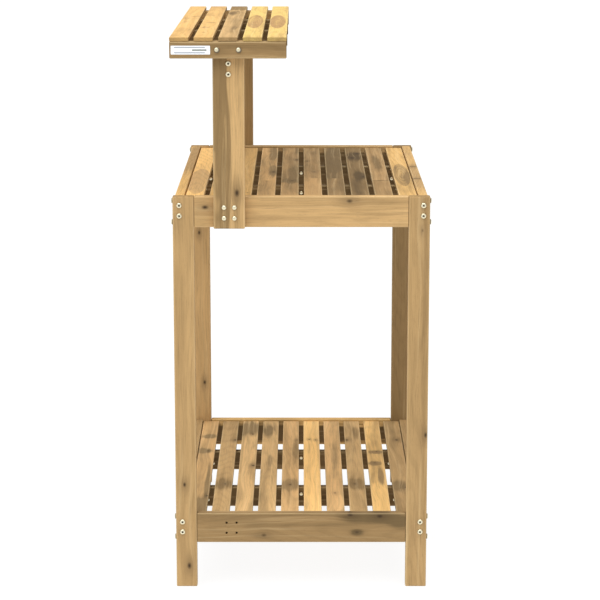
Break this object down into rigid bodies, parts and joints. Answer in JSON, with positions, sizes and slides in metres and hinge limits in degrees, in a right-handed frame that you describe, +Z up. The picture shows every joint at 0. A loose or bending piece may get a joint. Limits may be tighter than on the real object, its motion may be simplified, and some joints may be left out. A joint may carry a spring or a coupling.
{
  "type": "potting bench",
  "caption": "Slatted wooden potting bench with worktop, lower shelf and a small raised shelf on two posts at the back.",
  "frame": {"origin": "on the floor under the middle of the bench's bounding box", "axes": "+X towards the front, where the user stands; +Y towards the user's right along the bench's length; +Z up"},
  "size_m": [0.5008, 0.8258, 1.092],
  "materials": {
    "leg_wood": "oiled, planed",
    "rail_wood": "oiled, planed",
    "slat_wood": "oiled, planed",
    "zinc": "bright zinc plated",
    "label": "plain white sticker"
  },
  "bodies": {
    "root": {"leg_back_left": "leg_wood", "leg_back_right": "leg_wood", "leg_front_left": "leg_wood", "leg_front_right": "leg_wood", "leg_screw_back_left_1": "zinc", "leg_screw_back_left_2": "zinc", "leg_screw_back_right_1": "zinc", "leg_screw_back_right_2": "zinc", "leg_screw_front_left_1": "zinc", "leg_screw_front_left_2": "zinc", "leg_screw_front_right_1": "zinc", "leg_screw_front_right_2": "zinc", "lower_back_rail": "rail_wood", "lower_bar_left": "rail_wood", "lower_bar_right": "rail_wood", "lower_end_rail_left": "rail_wood", "lower_end_rail_right": "rail_wood", "lower_front_rail": "rail_wood", "lower_slat_01": "slat_wood", "lower_slat_02": "slat_wood", "lower_slat_03": "slat_wood", "lower_slat_04": "slat_wood", "lower_slat_05": "slat_wood", "lower_slat_06": "slat_wood", "lower_slat_07": "slat_wood", "lower_slat_08": "slat_wood", "lower_slat_09": "slat_wood", "lower_slat_10": "slat_wood", "post_left": "rail_wood", "post_right": "rail_wood", "post_stretcher": "rail_wood", "shelf_bar_left": "rail_wood", "shelf_bar_right": "rail_wood", "shelf_end_rail_left": "rail_wood", "shelf_end_rail_right": "rail_wood", "shelf_screw_left_1": "zinc", "shelf_screw_left_2": "zinc", "shelf_screw_right_1": "zinc", "shelf_screw_right_2": "zinc", "shelf_slat_1": "slat_wood", "shelf_slat_2": "slat_wood", "shelf_slat_3": "slat_wood", "shelf_slat_4": "slat_wood", "shelf_slat_5": "slat_wood", "top_back_rail": "rail_wood", "top_bar_left": "rail_wood", "top_bar_right": "rail_wood", "top_end_rail_left": "rail_wood", "top_end_rail_right": "rail_wood", "top_front_rail": "rail_wood", "top_slat_01": "slat_wood", "top_slat_02": "slat_wood", "top_slat_03": "slat_wood", "top_slat_04": "slat_wood", "top_slat_05": "slat_wood", "top_slat_06": "slat_wood", "top_slat_07": "slat_wood", "top_slat_08": "slat_wood", "top_slat_09": "slat_wood", "top_slat_10": "slat_wood"}
  },
  "joints": []
}
